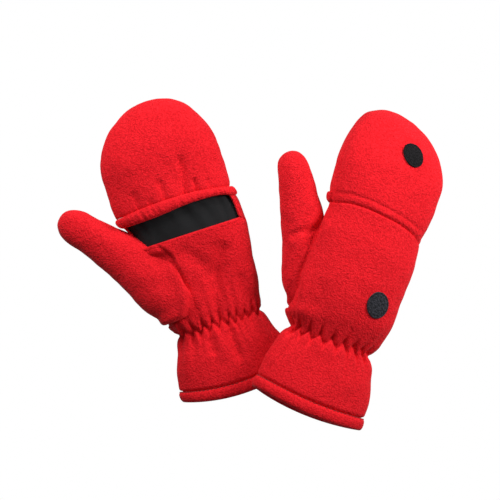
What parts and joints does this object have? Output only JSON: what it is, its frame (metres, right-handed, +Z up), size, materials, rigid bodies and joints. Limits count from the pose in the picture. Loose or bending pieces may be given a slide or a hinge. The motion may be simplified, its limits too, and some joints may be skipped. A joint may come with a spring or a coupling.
{
  "type": "convertible flip-top mittens",
  "caption": "Pair of fleece flip-top mittens with gathered wrists, separate thumbs and hoods that fold back off half-finger gloves.",
  "frame": {"origin": "middle of the pair's plan box, on the table that it lies on", "axes": "+X to the right across the pair, +Y from the cuffs towards the finger tips, +Z up from the table"},
  "size_m": [0.3336, 0.2776, 0.0562],
  "materials": {
    "fleece": "red brushed fleece with a short pebbled pile",
    "black_knit": "smooth charcoal-black knit",
    "lining": "brushed dark lining",
    "elastic": "braided elastic",
    "hook_tape": "dense black hook tape",
    "loop_tape": "fuzzy charcoal loop tape"
  },
  "bodies": {
    "left_hood": {"left_hood_back": "fleece", "left_hood_elastic": "elastic", "left_hood_front": "fleece", "left_hood_hem": "fleece", "left_hood_lining": "lining", "left_hook_disc": "hook_tape"},
    "left_thumb": {"left_thumb_back": "fleece", "left_thumb_front": "fleece", "left_thumb_lining": "lining"},
    "left_hand": {"left_back_panel": "fleece", "left_cuff_hem": "fleece", "left_gusset_lining": "lining", "left_index_finger_sleeve": "black_knit", "left_inner_glove": "black_knit", "left_little_finger_sleeve": "black_knit", "left_loop_disc": "loop_tape", "left_middle_finger_sleeve": "black_knit", "left_palm_panel": "fleece", "left_ring_finger_sleeve": "black_knit", "left_slot_binding": "fleece", "left_thumb_gusset": "fleece", "left_wrist_elastic": "elastic"},
    "right_hood": {"right_hood_back": "fleece", "right_hood_elastic": "elastic", "right_hood_front": "fleece", "right_hood_hem": "fleece", "right_hood_lining": "lining", "right_hook_disc": "hook_tape"},
    "right_thumb": {"right_thumb_back": "fleece", "right_thumb_front": "fleece", "right_thumb_lining": "lining"},
    "right_hand": {"right_back_panel": "fleece", "right_cuff_hem": "fleece", "right_gusset_lining": "lining", "right_index_finger_sleeve": "black_knit", "right_inner_glove": "black_knit", "right_little_finger_sleeve": "black_knit", "right_loop_disc": "loop_tape", "right_middle_finger_sleeve": "black_knit", "right_palm_panel": "fleece", "right_ring_finger_sleeve": "black_knit", "right_slot_binding": "fleece", "right_thumb_gusset": "fleece", "right_wrist_elastic": "elastic"}
  },
  "joints": [
    {"name": "left_hood_flip", "type": "hinge", "parent": "left_hand", "child": "left_hood", "pos_m": [-0.06333, 0.04877, -0.002], "axis": [-0.9511, -0.309, 0], "range_deg": [0, 176]},
    {"name": "left_thumb_swing", "type": "hinge", "parent": "left_hand", "child": "left_thumb", "pos_m": [-0.09838, -0.00551, 0.01489], "axis": [0, 0, 1], "range_deg": [-8, 10]},
    {"name": "right_hood_flip", "type": "hinge", "parent": "right_hand", "child": "right_hood", "pos_m": [0.11422, 0.03557, 0.05116], "axis": [0.9182, -0.3564, -0.1729], "range_deg": [0, 178]},
    {"name": "right_thumb_swing", "type": "hinge", "parent": "right_hand", "child": "right_thumb", "pos_m": [0.04937, 0.01656, 0.03317], "axis": [0.1938, 0.0235, 0.9808], "range_deg": [-4, 12]},
    {"name": "right_mitten_lift", "type": "slide", "parent": "left_hand", "child": "right_hand", "axis": [0, 0, 1], "range_m": [0, 0.06]}
  ]
}
